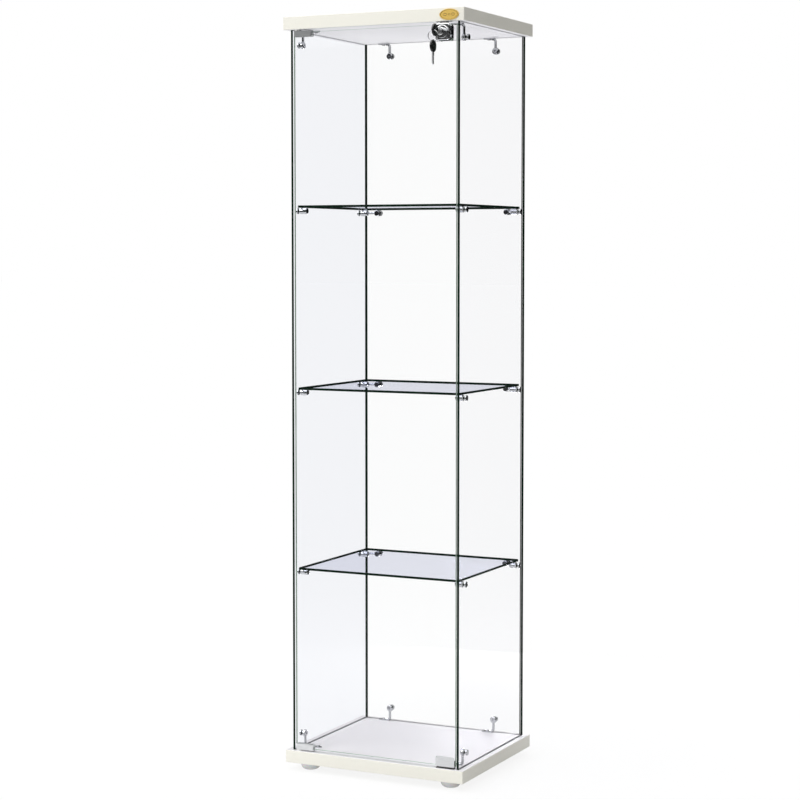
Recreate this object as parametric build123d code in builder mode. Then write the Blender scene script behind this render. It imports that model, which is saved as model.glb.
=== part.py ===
"""Tower display case: two boards, three glass walls, three glass shelves and a locking glass door.

Millimetres. +X is the viewer's right, +Y runs to the back, +Z is up. The origin is on the floor, in the
middle of the case. The glass stands between two foil-faced boards and is tied to them by eight rod
brackets. The door swings on two pivot clamps at its left end and carries a key lock that throws a bolt up
into the top board.
"""
import os
from math import radians, sin

from build123d import *

# ---- driving sizes -------------------------------------------------------------------------------
CASE_WIDTH = 425.0
CASE_DEPTH = 365.0
CASE_HEIGHT = 1630.0
BOARD = 27.0  # thickness of the base and top boards
FOOT_HEIGHT = 17.0
GLASS = 5.0  # thickness of every pane
SIDE_INSET = 13.5  # board edge to the outer face of a side pane
END_INSET = 10.0  # board edge to the outer face of the door or the back pane
PANE_GAP = 0.5  # back pane to side pane
DOOR_SIDE_GAP = 2.5
DOOR_END_GAP = 5.5
SHELF_SIDE_GAP = 2.5
SHELF_FRONT_GAP = 8.0  # behind the door
SHELF_BACK_GAP = 4.0
FIRST_SHELF = 441.5  # height of the middle of the lowest shelf
SHELF_PITCH = 393.0
ARRIS = 0.5  # ground edge of the glass
SLIP = 0.05  # radial clearance of a shaft in its hole
LOOSE = 0.3  # radial clearance of a screw in a washer, a strip or a plate
BOARD_CORNER = 1.5
BOARD_ROUND = 0.8
SHELF_CORNER = 3.0

# ---- places that follow from them ----------------------------------------------------------------
BASE_TOP = FOOT_HEIGHT + BOARD
TOP_UNDER = CASE_HEIGHT - BOARD
SIDE_OUT = CASE_WIDTH / 2 - SIDE_INSET
SIDE_IN = SIDE_OUT - GLASS
BACK_OUT = CASE_DEPTH / 2 - END_INSET
BACK_IN = BACK_OUT - GLASS
DOOR_FRONT = -BACK_OUT
DOOR_BACK = DOOR_FRONT + GLASS
DOOR_MID = DOOR_FRONT + GLASS / 2
DOOR_HALF = SIDE_IN - DOOR_SIDE_GAP
DOOR_LOW = BASE_TOP + DOOR_END_GAP
DOOR_HIGH = TOP_UNDER - DOOR_END_GAP
WALL_HEIGHT = TOP_UNDER - BASE_TOP
SHELF_LEVELS = {
    "lower": FIRST_SHELF,
    "middle": FIRST_SHELF + SHELF_PITCH,
    "upper": FIRST_SHELF + 2 * SHELF_PITCH,
}

# ---- sizes: glass fittings -----------------------------------------------------------------------
FITTING_BOLT_R = 2.0  # M4 shank
PANE_HOLE_R = 3.0
CAP_R = 6.5
CAP_HEIGHT = 3.0
OUTER_WASHER = 0.5
INNER_WASHER = 0.8
CAP_ROUND = 1.6
WASHER_R = 6.0
BOLT_REACH = 4.8  # how far a bolt goes past the inner face of the glass
TAP_SPARE = 0.6  # tapped hole beyond the bolt's end

BRACKET_HEAD_R = 7.5
BRACKET_HEAD_END = 7.0  # from the glass
BRACKET_HEAD_ROUND = 2.4
BRACKET_RISE = 29.0  # head above (or below) its board
ROD_R = 2.75
ROD_OFFSET = 3.7  # rod axis from the glass
ROD_BEND = 5.5
ROD_RUN = 8.8  # how far the rod runs along its foot, from its upright
FOOT_STRIP = 2.5
FOOT_STRIP_WIDTH = 9.0
FOOT_OFFSET = 5.5  # middle of a foot that lies along the glass, from the glass
BACK_BRACKET_X = 131.0
SIDE_BRACKET_Y = -134.0
BACK_FOOT_LENGTH = 28.0
BACK_FOOT_SCREW = 14.5  # screw from the rod
SIDE_FOOT_LENGTH = 41.0
SIDE_FOOT_SCREW = 33.0

SUPPORT_R = 6.5
SUPPORT_FLAT = 5.7  # flat milled on top of a support, from its axis
SUPPORT_ROUND = 1.5
PAD = 0.8
PAD_WIDTH = 5.4
PAD_START = 4.0  # from the glass
PAD_STOP = 1.5  # short of the support's end
FLAT_START = 3.5  # where the flat starts, from the glass
STUD_END = 17.0
FRONT_STUD_Y = -141.0
CORNER_BACK_X = 161.0
CORNER_BACK_END = 12.0
CORNER_SIDE_Y = 145.5
CORNER_SIDE_END = 16.0
LINK_R = 2.5
LINK_OFFSET = 8.0  # rod axis from both panes
LINK_BEND = 8.0

BOARD_SCREW_R = 1.75
BOARD_SCREW_LENGTH = 16.0
SCREW_SPARE = 1.0  # hole beyond a screw's point
PAN_R = 4.2
BOARD_PAN_R = 3.8
PAN_HEIGHT = 2.4
PAN_ROUND = 0.45  # share of the head's height
PAN_SLOT_DEPTH = 0.5  # share of the head's height
PAN_SLOT_LENGTH = 1.2  # share of the head's radius
PAN_SLOT_WIDTH = 0.24  # share of the head's radius

# ---- sizes: feet ---------------------------------------------------------------------------------
FOOT_TOP_R = 22.0
FOOT_BOTTOM_R = 13.0
FOOT_X = CASE_WIDTH / 2 - 43.5
FOOT_Y = CASE_DEPTH / 2 - 35.5
FOOT_LIP = 2.0
FOOT_FLARE = 0.25  # fall per unit of run where the cup leaves the sole
FOOT_BORE_R = 5.5
FOOT_BORE_DEPTH = 11.0

# ---- sizes: door hinge ---------------------------------------------------------------------------
PIVOT_X = -183.0
CLAMP_LEFT = -189.5
CLAMP_LENGTH = 41.5
CLAMP_HEIGHT = 13.0
CLAMP_WEB = 3.2
CLAMP_CHEEK = 3.0
CLAMP_PAD = 0.5
CLAMP_CORNER = 1.0
CLAMP_ROUND = 0.6
PAD_INSET = 0.5  # pad short of the clamp at each end
PIN_R = 3.0
PIN_FIT = 0.03  # radial clearance of the pin in its clamp
PIN_CHAMFER = 0.5
PIN_SPARE = 0.3
PIN_LENGTH = 11.6
BUSH_R = 5.0
BUSH_FLANGE_R = 7.0
BUSH_FLANGE = 2.0
BUSH_DEPTH = 12.0
GRUB_R = 2.5
GRUB_STEPS = (6.0, 24.0)  # from the pivot
GRUB_DROP = 5.0
GRUB_LENGTH = 2.7
GRUB_KEY_R = 1.25
GRUB_KEY_DEPTH = 1.6

# ---- sizes: catch --------------------------------------------------------------------------------
CATCH_X = 167.5
CATCH_WIDTH = 43.5
CATCH_FRONT = 22.0
CATCH_BACK = 14.0
CATCH_SHEET = 1.2
CATCH_LINER = 0.5
CATCH_BEND = 0.9
CATCH_CORNER = 3.0
LINER_HEIGHT = 12.0
LINER_INSET = 0.4
CATCH_UNDER = 1.0  # liner under the edge of the glass
MAGNET_WIDTH = 41.0
MAGNET_DEPTH = 10.0
MAGNET_RISE = 2.2
MAGNET_SINK = 1.0
MAGNET_ROUND = 0.6

# ---- sizes: lock ---------------------------------------------------------------------------------
LOCK_X = 165.0
LOCK_Z = 1581.5
LOCK_WIDTH = 33.0
LOCK_HEIGHT = 35.0
LOCK_CORNER = 6.0
LOCK_GASKET = 1.0
LOCK_DEPTH = 12.5
LOCK_BACK_PLATE = 3.0
LOCK_ROUND = 2.5
COLLAR_ROUND = 1.2
SLEEVE_CHAMFER = 1.0
PLUG_CHAMFER = 0.4
PLUG_GAP = 0.3  # plug to bolt
COLLAR_R = 13.5
COLLAR_DEPTH = 3.0
SLEEVE_R = 8.5
SLEEVE_DEPTH = 10.0
PLUG_R = 5.5
PLUG_PROUD = 0.6
KEYWAY_WIDTH = 2.3
KEYWAY_HEIGHT = 7.9
KEYWAY_DEPTH = 16.5
CAM_RADIUS = 4.4  # eccentricity of the cam pin that lifts the bolt
CAM_ANGLE = 45.0  # cam pin below its middle when the bolt is drawn back
CAM_PIN_R = 1.0
CAM_PLAY = 0.3
CAM_SIDE_PLAY = 0.5
BOLT_WIDTH = 19.0
BOLT_THICK = 3.9
BOLT_BELOW = 9.5  # bottom of the bolt below the lock's axis
BOLT_TIP_GAP = 0.4  # bolt tip to the strike, drawn back
BOLT_SLIDE = 0.15
BOLT_CHAMFER = 1.0
LOCK_SCREW_X = 11.5
LOCK_SCREW_DROP = 14.5
LOCK_SCREW_R = 2.0
LOCK_SCREW_HEAD_R = 3.6
LOCK_SCREW_HEAD = 2.0
LOCK_SCREW_GRIP = 7.0
LOCK_TAP_DEPTH = 8.0
STRIKE_WIDTH = 38.0
STRIKE_DEPTH = 10.5
STRIKE_SHEET = 1.2
STRIKE_CORNER = 1.0
STRIKE_SCREW_X = 15.0
STRIKE_SCREW_R = 1.5
STRIKE_SCREW_HEAD_R = 2.6
STRIKE_SCREW_HEAD = 1.2
STRIKE_SCREW_LENGTH = 10.5
STRIKE_CLEAR = 0.5
STRIKE_POCKET = 8.5

# ---- sizes: keys ---------------------------------------------------------------------------------
BOW_R = 13.0
BOW_THICK = 4.0
BOW_HOLE_R = 2.5
BOW_HOLE_OFFSET = 8.5  # from the middle of the bow
BOW_ROUND = 1.2
BLADE_LENGTH = 25.0
BLADE_WIDTH = 7.4
BLADE_THICK = 2.0
BLADE_GROOVE = 1.0
BLADE_GROOVE_DEPTH = 0.5
BLADE_GROOVE_SHIFT = -1.2
TIP_LENGTH = 2.5
TIP_RISE = 3.0
TIP_SHOULDER = 1.0
CUTS = (1.2, 2.2, 1.6, 2.6)  # depths of the cuts, from the tip
CUT_PITCH = 4.0
CUT_FLAT = 1.2
TANG = 5.0
BLADE_SHOWS = 10.0  # from the lock's sleeve to the bow
RING_R = 11.0
WIRE_R = 0.8
RING_PLAY = 0.4

# ---- sizes: badge --------------------------------------------------------------------------------
BADGE_X = 179.0
BADGE_Z = 1616.0
BADGE_HALF_WIDTH = 21.8
BADGE_HALF_HEIGHT = 11.4
BADGE_BASE = 1.4
BADGE_RIM = 1.8
BADGE_RIM_HEIGHT = 0.7
BADGE_STEP = 0.3

os.makedirs("parts", exist_ok=True)


def finish(piece, name):
    """Label a finished piece and write it out under its own name."""
    piece.part.label = name
    export_step(piece.part, f"parts/{name}.step")


def plane_at(point, x_dir, z_dir):
    return Plane(origin=point, x_dir=x_dir, z_dir=z_dir)


def glass_planes(wall, along, height):
    """A plane on the inner face of a wall, for the fitting at that place: z into the case, x level, y up."""
    if wall == "back":
        return plane_at((along, BACK_IN, height), (1, 0, 0), (0, -1, 0))
    side = 1 if wall == "right" else -1
    return plane_at((side * SIDE_IN, along, height), (0, -side, 0), (-side, 0, 0))


BRACKET_LEVELS = {"lower": BASE_TOP + BRACKET_RISE, "upper": TOP_UNDER - BRACKET_RISE}
SUPPORT_DROP = GLASS / 2 + PAD + SUPPORT_FLAT
SUPPORT_HEIGHTS = [level - SUPPORT_DROP for level in SHELF_LEVELS.values()]

BRACKET_PLACES = {}
for row, height in BRACKET_LEVELS.items():
    BRACKET_PLACES[f"{row}_left_bracket"] = ("left", SIDE_BRACKET_Y, height)
    BRACKET_PLACES[f"{row}_right_bracket"] = ("right", SIDE_BRACKET_Y, height)
    BRACKET_PLACES[f"{row}_back_left_bracket"] = ("back", -BACK_BRACKET_X, height)
    BRACKET_PLACES[f"{row}_back_right_bracket"] = ("back", BACK_BRACKET_X, height)

STUD_PLACES = [(wall, FRONT_STUD_Y, z) for z in SUPPORT_HEIGHTS for wall in ("left", "right")]
CORNER_SIDE_PLACES = [(wall, CORNER_SIDE_Y, z) for z in SUPPORT_HEIGHTS for wall in ("left", "right")]
CORNER_BACK_PLACES = [("back", s * CORNER_BACK_X, z) for z in SUPPORT_HEIGHTS for s in (-1, 1)]
FITTING_PLACES = list(BRACKET_PLACES.values()) + STUD_PLACES + CORNER_SIDE_PLACES + CORNER_BACK_PLACES


def foot_direction(wall):
    """Which way a bracket's foot runs over its board: to the left at the back, inwards at the sides."""
    return {"back": (-1, 0), "left": (1, 0), "right": (-1, 0)}[wall]


def bracket_screw_xy(wall, along):
    """Where the board screw of a bracket stands, seen from above."""
    fx, fy = foot_direction(wall)
    if wall == "back":
        return along + fx * BACK_FOOT_SCREW, BACK_IN - FOOT_OFFSET
    side = 1 if wall == "right" else -1
    return side * (SIDE_IN - ROD_OFFSET) + fx * SIDE_FOOT_SCREW, along


BRACKET_SCREWS = [
    bracket_screw_xy(wall, along) for wall, along, z in BRACKET_PLACES.values() if z < CASE_HEIGHT / 2
]

# ---- boards --------------------------------------------------------------------------------------
with BuildPart() as base_board:
    with BuildSketch(Plane.XY.offset(FOOT_HEIGHT)):
        Rectangle(CASE_WIDTH, CASE_DEPTH)
    extrude(amount=BOARD)
    fillet(base_board.edges().filter_by(Axis.Z), BOARD_CORNER)
    fillet(base_board.faces().sort_by(Axis.Z)[-1].edges(), BOARD_ROUND)
    fillet(base_board.faces().sort_by(Axis.Z)[0].edges(), BOARD_ROUND)
    with BuildSketch(Plane.XY.offset(BASE_TOP)):
        with Locations(*BRACKET_SCREWS):
            Circle(BOARD_SCREW_R + SLIP)
    extrude(amount=-BOARD_SCREW_LENGTH, mode=Mode.SUBTRACT)
    with BuildSketch(Plane.XY.offset(FOOT_HEIGHT)):
        with GridLocations(2 * FOOT_X, 2 * FOOT_Y, 2, 2):
            Circle(FITTING_BOLT_R + SLIP)
    extrude(amount=BOARD_SCREW_LENGTH, mode=Mode.SUBTRACT)
    with BuildSketch(Plane.XY.offset(BASE_TOP)):
        with Locations((PIVOT_X, DOOR_MID)):
            Circle(BUSH_R + SLIP)
    extrude(amount=-BUSH_DEPTH - SLIP, mode=Mode.SUBTRACT)
    with BuildSketch(Plane.XY.offset(BASE_TOP)):
        with Locations((CATCH_X, DOOR_MID)):
            Rectangle(MAGNET_WIDTH + 2 * SLIP, MAGNET_DEPTH + 2 * SLIP)
    extrude(amount=-MAGNET_SINK, mode=Mode.SUBTRACT)
finish(base_board, "base_board")

BOLT_BACK = DOOR_FRONT - LOCK_GASKET - BOLT_SLIDE
BOLT_FRONT = BOLT_BACK - BOLT_THICK
BOLT_MID = (BOLT_BACK + BOLT_FRONT) / 2
STRIKE_SCREW_SPOTS = [(LOCK_X + s * STRIKE_SCREW_X, BOLT_MID) for s in (-1, 1)]
with BuildPart() as top_board:
    with BuildSketch(Plane.XY.offset(TOP_UNDER)):
        Rectangle(CASE_WIDTH, CASE_DEPTH)
    extrude(amount=BOARD)
    fillet(top_board.edges().filter_by(Axis.Z), BOARD_CORNER)
    fillet(top_board.faces().sort_by(Axis.Z)[-1].edges(), BOARD_ROUND)
    fillet(top_board.faces().sort_by(Axis.Z)[0].edges(), BOARD_ROUND)
    with BuildSketch(Plane.XY.offset(TOP_UNDER)):
        with Locations(*BRACKET_SCREWS):
            Circle(BOARD_SCREW_R + SLIP)
    extrude(amount=BOARD_SCREW_LENGTH, mode=Mode.SUBTRACT)
    with BuildSketch(Plane.XY.offset(TOP_UNDER)):
        with Locations((PIVOT_X, DOOR_MID)):
            Circle(BUSH_R + SLIP)
    extrude(amount=BUSH_DEPTH + SLIP, mode=Mode.SUBTRACT)
    with BuildSketch(Plane.XY.offset(TOP_UNDER)):
        with Locations((LOCK_X, BOLT_MID)):
            Rectangle(STRIKE_WIDTH + 2 * SLIP, STRIKE_DEPTH + 2 * SLIP)
    extrude(amount=STRIKE_SHEET, mode=Mode.SUBTRACT)
    with BuildSketch(Plane.XY.offset(TOP_UNDER)):
        with Locations((LOCK_X, BOLT_MID)):
            Rectangle(BOLT_WIDTH + 2 * STRIKE_CLEAR, BOLT_THICK + 2 * STRIKE_CLEAR)
    extrude(amount=STRIKE_POCKET, mode=Mode.SUBTRACT)
    with BuildSketch(Plane.XY.offset(TOP_UNDER)):
        with Locations(*STRIKE_SCREW_SPOTS):
            Circle(STRIKE_SCREW_R + SLIP)
    extrude(amount=STRIKE_SCREW_LENGTH + SCREW_SPARE, mode=Mode.SUBTRACT)
finish(top_board, "top_board")


# ---- glass walls ---------------------------------------------------------------------------------
def wall_holes(wall):
    """Level and height of every bolt hole in one wall."""
    return [(along, z) for side, along, z in FITTING_PLACES if side == wall]


for side_name, side in (("left", -1), ("right", 1)):
    with BuildPart() as side_glass:
        with BuildSketch(Plane.YZ.offset(side * SIDE_OUT)):
            with Locations((0, BASE_TOP + WALL_HEIGHT / 2)):
                Rectangle(2 * BACK_OUT, WALL_HEIGHT)
        extrude(amount=-side * GLASS)
        chamfer(side_glass.edges().filter_by(Axis.Z), ARRIS)
        with BuildSketch(Plane.YZ.offset(side * SIDE_OUT)):
            with Locations(*wall_holes(side_name)):
                Circle(PANE_HOLE_R)
        extrude(amount=-side * GLASS, mode=Mode.SUBTRACT)
    finish(side_glass, f"{side_name}_glass_panel")

with BuildPart() as back_glass:
    with BuildSketch(Plane.XZ.offset(-BACK_OUT)):
        with Locations((0, BASE_TOP + WALL_HEIGHT / 2)):
            Rectangle(2 * (SIDE_IN - PANE_GAP), WALL_HEIGHT)
    extrude(amount=GLASS)
    chamfer(back_glass.edges().filter_by(Axis.Z), ARRIS)
    with BuildSketch(Plane.XZ.offset(-BACK_OUT)):
        with Locations(*wall_holes("back")):
            Circle(PANE_HOLE_R)
    extrude(amount=GLASS, mode=Mode.SUBTRACT)
finish(back_glass, "back_glass_panel")

# ---- shelves -------------------------------------------------------------------------------------
SHELF_FRONT = DOOR_BACK + SHELF_FRONT_GAP
SHELF_BACK = BACK_IN - SHELF_BACK_GAP
for shelf_name, level in SHELF_LEVELS.items():
    with BuildPart() as shelf:
        with BuildSketch(Plane.XY.offset(level - GLASS / 2)):
            with Locations((0, (SHELF_FRONT + SHELF_BACK) / 2)):
                RectangleRounded(2 * (SIDE_IN - SHELF_SIDE_GAP), SHELF_BACK - SHELF_FRONT, SHELF_CORNER)
        extrude(amount=GLASS)
        chamfer(shelf.faces().filter_by(Axis.Z).edges(), ARRIS)
    finish(shelf, f"{shelf_name}_shelf")

# ---- feet ----------------------------------------------------------------------------------------
for foot_name, fx, fy in (
    ("front_left", -FOOT_X, -FOOT_Y),
    ("front_right", FOOT_X, -FOOT_Y),
    ("rear_left", -FOOT_X, FOOT_Y),
    ("rear_right", FOOT_X, FOOT_Y),
):
    with BuildPart() as foot:
        with BuildSketch(plane_at((fx, fy, 0), (1, 0, 0), (0, -1, 0))):
            with BuildLine():
                top_line = Line((0, FOOT_HEIGHT), (FOOT_TOP_R, FOOT_HEIGHT))
                lip = Line(top_line @ 1, (FOOT_TOP_R, FOOT_HEIGHT - FOOT_LIP))
                side_line = Spline(
                    lip @ 1,
                    (FOOT_BOTTOM_R, 0),
                    tangents=[(0, -1), (-1, -FOOT_FLARE)],
                )
                bottom = Line(side_line @ 1, (0, 0))
                Line(bottom @ 1, top_line @ 0)
            make_face()
        revolve(axis=Axis((fx, fy, 0), (0, 0, 1)))
        with BuildSketch(plane_at((fx, fy, 0), (1, 0, 0), (0, 0, 1))):
            Circle(FOOT_BORE_R)
        extrude(amount=FOOT_BORE_DEPTH, mode=Mode.SUBTRACT)
        with BuildSketch(plane_at((fx, fy, 0), (1, 0, 0), (0, 0, 1))):
            Circle(FITTING_BOLT_R + SLIP)
        extrude(amount=FOOT_HEIGHT, mode=Mode.SUBTRACT)
    finish(foot, f"{foot_name}_foot")


def pan_screw(shank_r, head_r, head_height, length):
    """A pan-head screw with a cross slot: seat at the origin, head standing up and shank going down."""
    with BuildPart() as screw:
        with BuildSketch():
            Circle(head_r)
        extrude(amount=head_height)
        fillet(screw.faces().sort_by(Axis.Z)[-1].edges(), head_height * PAN_ROUND)
        with BuildSketch(Plane.XY.offset(head_height)):
            Rectangle(head_r * PAN_SLOT_LENGTH, head_r * PAN_SLOT_WIDTH)
            Rectangle(head_r * PAN_SLOT_WIDTH, head_r * PAN_SLOT_LENGTH)
        extrude(amount=-head_height * PAN_SLOT_DEPTH, mode=Mode.SUBTRACT)
        with BuildSketch():
            Circle(shank_r)
        extrude(amount=-length)
    return screw.part


FOOT_SCREW_LENGTH = FOOT_HEIGHT - FOOT_BORE_DEPTH + BOARD_SCREW_LENGTH - SCREW_SPARE
foot_screw = pan_screw(FITTING_BOLT_R, PAN_R, PAN_HEIGHT, FOOT_SCREW_LENGTH)
with BuildPart() as foot_screws:
    with Locations(*[
        plane_at((fx, fy, FOOT_BORE_DEPTH), (1, 0, 0), (0, 0, -1))
        for fx in (-FOOT_X, FOOT_X)
        for fy in (-FOOT_Y, FOOT_Y)
    ]):
        add(foot_screw)
finish(foot_screws, "foot_screws")

# ---- rod brackets --------------------------------------------------------------------------------
for bracket_name, (wall, along, z) in BRACKET_PLACES.items():
    up = 1 if z < CASE_HEIGHT / 2 else -1  # the head is above its board, or below it
    face = glass_planes(wall, along, z)
    board_z = z - up * BRACKET_RISE
    inward = face.z_dir
    rod_x = along if wall == "back" else face.origin.X + inward.X * ROD_OFFSET
    rod_y = face.origin.Y + inward.Y * ROD_OFFSET if wall == "back" else along
    run_x, run_y = foot_direction(wall)
    length = BACK_FOOT_LENGTH if wall == "back" else SIDE_FOOT_LENGTH
    screw = BACK_FOOT_SCREW if wall == "back" else SIDE_FOOT_SCREW
    rod_z = board_z + up * ROD_R
    with BuildPart() as bracket:
        with BuildSketch(face.offset(INNER_WASHER)):
            Circle(BRACKET_HEAD_R)
        extrude(amount=BRACKET_HEAD_END - INNER_WASHER)
        rim = bracket.faces().sort_by(Axis(face.origin, face.z_dir))[-1].edges()
        fillet(rim, BRACKET_HEAD_ROUND)
        with BuildLine() as rod_path:
            FilletPolyline(
                (rod_x, rod_y, z),
                (rod_x, rod_y, rod_z),
                (rod_x + run_x * ROD_RUN, rod_y + run_y * ROD_RUN, rod_z),
                radius=ROD_BEND,
            )
        with BuildSketch(plane_at((rod_x, rod_y, z), (1, 0, 0), (0, 0, -up))):
            Circle(ROD_R)
        sweep(path=rod_path.wires()[0])
        foot_y = BACK_IN - FOOT_OFFSET if wall == "back" else along
        with BuildSketch(plane_at((rod_x + run_x * length / 2, foot_y, board_z), (1, 0, 0), (0, 0, up))):
            SlotOverall(length, FOOT_STRIP_WIDTH)
        extrude(amount=FOOT_STRIP)
        with BuildSketch(plane_at((rod_x + run_x * screw, foot_y, board_z), (1, 0, 0), (0, 0, up))):
            Circle(BOARD_SCREW_R + LOOSE)
        extrude(amount=2 * FOOT_STRIP, mode=Mode.SUBTRACT)
        with BuildSketch(face):
            Circle(FITTING_BOLT_R + SLIP)
        extrude(amount=BRACKET_HEAD_END, mode=Mode.SUBTRACT)
    finish(bracket, bracket_name)

BRACKET_SCREW_LENGTH = FOOT_STRIP + BOARD_SCREW_LENGTH - SCREW_SPARE
bracket_screw = pan_screw(BOARD_SCREW_R, BOARD_PAN_R, PAN_HEIGHT, BRACKET_SCREW_LENGTH)
with BuildPart() as bracket_screws:
    with Locations(*[
        plane_at((sx, sy, board_z + up * FOOT_STRIP), (1, 0, 0), (0, 0, up))
        for sx, sy in BRACKET_SCREWS
        for board_z, up in ((BASE_TOP, 1), (TOP_UNDER, -1))
    ]):
        add(bracket_screw)
finish(bracket_screws, "bracket_screws")

# ---- shelf supports ------------------------------------------------------------------------------
def round_support(end):
    """A round stud that stands on the glass: flat on top for the shelf, tapped for its bolt."""
    with BuildPart() as stud:
        with BuildSketch(Plane.XY.offset(INNER_WASHER)):
            Circle(SUPPORT_R)
        extrude(amount=end - INNER_WASHER)
        fillet(stud.faces().sort_by(Axis.Z)[-1].edges(), SUPPORT_ROUND)
        with BuildSketch(Plane.XY.offset(FLAT_START)):
            with Locations((0, SUPPORT_FLAT + SUPPORT_R / 2)):
                Rectangle(3 * SUPPORT_R, SUPPORT_R)
        extrude(amount=end, mode=Mode.SUBTRACT)
        with BuildSketch():
            Circle(FITTING_BOLT_R + SLIP)
        extrude(amount=BOLT_REACH + TAP_SPARE, mode=Mode.SUBTRACT)
    return stud.part


def flat_pad(end):
    """The soft pad on the flat of a support."""
    with BuildPart() as pad:
        with BuildSketch(Plane.XY.offset(PAD_START)):
            with Locations((0, SUPPORT_FLAT + PAD / 2)):
                Rectangle(PAD_WIDTH, PAD)
        extrude(amount=end - PAD_STOP - PAD_START)
    return pad.part


front_stud = round_support(STUD_END)
corner_back_stud = round_support(CORNER_BACK_END)
corner_side_stud = round_support(CORNER_SIDE_END)

for shelf_name, height in zip(SHELF_LEVELS, SUPPORT_HEIGHTS):
    with BuildPart() as studs:
        with Locations(*[glass_planes(wall, FRONT_STUD_Y, height) for wall in ("left", "right")]):
            add(front_stud)
    finish(studs, f"{shelf_name}_shelf_studs")

for shelf_name, height in zip(SHELF_LEVELS, SUPPORT_HEIGHTS):
    for wall, side in (("left", -1), ("right", 1)):
        link_x = side * (SIDE_IN - LINK_OFFSET)
        link_y = BACK_IN - LINK_OFFSET
        with BuildPart() as connector:
            with Locations(glass_planes("back", side * CORNER_BACK_X, height)):
                add(corner_back_stud)
            with Locations(glass_planes(wall, CORNER_SIDE_Y, height)):
                add(corner_side_stud)
            with BuildLine() as link_path:
                FilletPolyline(
                    (side * CORNER_BACK_X, link_y, height),
                    (link_x, link_y, height),
                    (link_x, CORNER_SIDE_Y, height),
                    radius=LINK_BEND,
                )
            with BuildSketch(plane_at((side * CORNER_BACK_X, link_y, height), (0, 0, 1), (side, 0, 0))):
                Circle(LINK_R)
            sweep(path=link_path.wires()[0])
        finish(connector, f"{shelf_name}_{wall}_corner_connector")

with BuildPart() as shelf_pads:
    with Locations(*[glass_planes(*place) for place in STUD_PLACES]):
        add(flat_pad(STUD_END))
    with Locations(*[glass_planes(*place) for place in CORNER_SIDE_PLACES]):
        add(flat_pad(CORNER_SIDE_END))
    with Locations(*[glass_planes(*place) for place in CORNER_BACK_PLACES]):
        add(flat_pad(CORNER_BACK_END))
finish(shelf_pads, "shelf_pads")

# ---- glass bolts ---------------------------------------------------------------------------------
with BuildPart() as cap_bolt:
    with BuildSketch(Plane.XY.offset(-GLASS - OUTER_WASHER)):
        Circle(CAP_R)
    extrude(amount=-CAP_HEIGHT)
    fillet(cap_bolt.faces().sort_by(Axis.Z)[0].edges(), CAP_ROUND)
    with BuildSketch(Plane.XY.offset(-GLASS - OUTER_WASHER)):
        Circle(FITTING_BOLT_R)
    extrude(amount=OUTER_WASHER + GLASS + BOLT_REACH)

with BuildPart() as washer_pair:
    with BuildSketch():
        Circle(WASHER_R)
        Circle(FITTING_BOLT_R + LOOSE, mode=Mode.SUBTRACT)
    extrude(amount=INNER_WASHER)
    with BuildSketch(Plane.XY.offset(-GLASS)):
        Circle(WASHER_R)
        Circle(FITTING_BOLT_R + LOOSE, mode=Mode.SUBTRACT)
    extrude(amount=-OUTER_WASHER)

with BuildPart() as glass_bolts:
    with Locations(*[glass_planes(*place) for place in FITTING_PLACES]):
        add(cap_bolt.part)
finish(glass_bolts, "glass_bolts")

with BuildPart() as glass_washers:
    with Locations(*[glass_planes(*place) for place in FITTING_PLACES]):
        add(washer_pair.part)
finish(glass_washers, "glass_washers")

# ---- door ----------------------------------------------------------------------------------------
LOCK_SCREW_POINTS = [(LOCK_X + s * LOCK_SCREW_X, LOCK_Z - LOCK_SCREW_DROP) for s in (-1, 1)]
with BuildPart() as door_glass:
    with BuildSketch(Plane.XZ.offset(-DOOR_FRONT)):
        with Locations((0, (DOOR_LOW + DOOR_HIGH) / 2)):
            Rectangle(2 * DOOR_HALF, DOOR_HIGH - DOOR_LOW)
    extrude(amount=-GLASS)
    chamfer(door_glass.edges().filter_by(Axis.Z), ARRIS)
    with BuildSketch(Plane.XZ.offset(-DOOR_FRONT)):
        with Locations(*LOCK_SCREW_POINTS):
            Circle(PANE_HOLE_R)
    extrude(amount=-GLASS, mode=Mode.SUBTRACT)
finish(door_glass, "door_glass")

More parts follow.
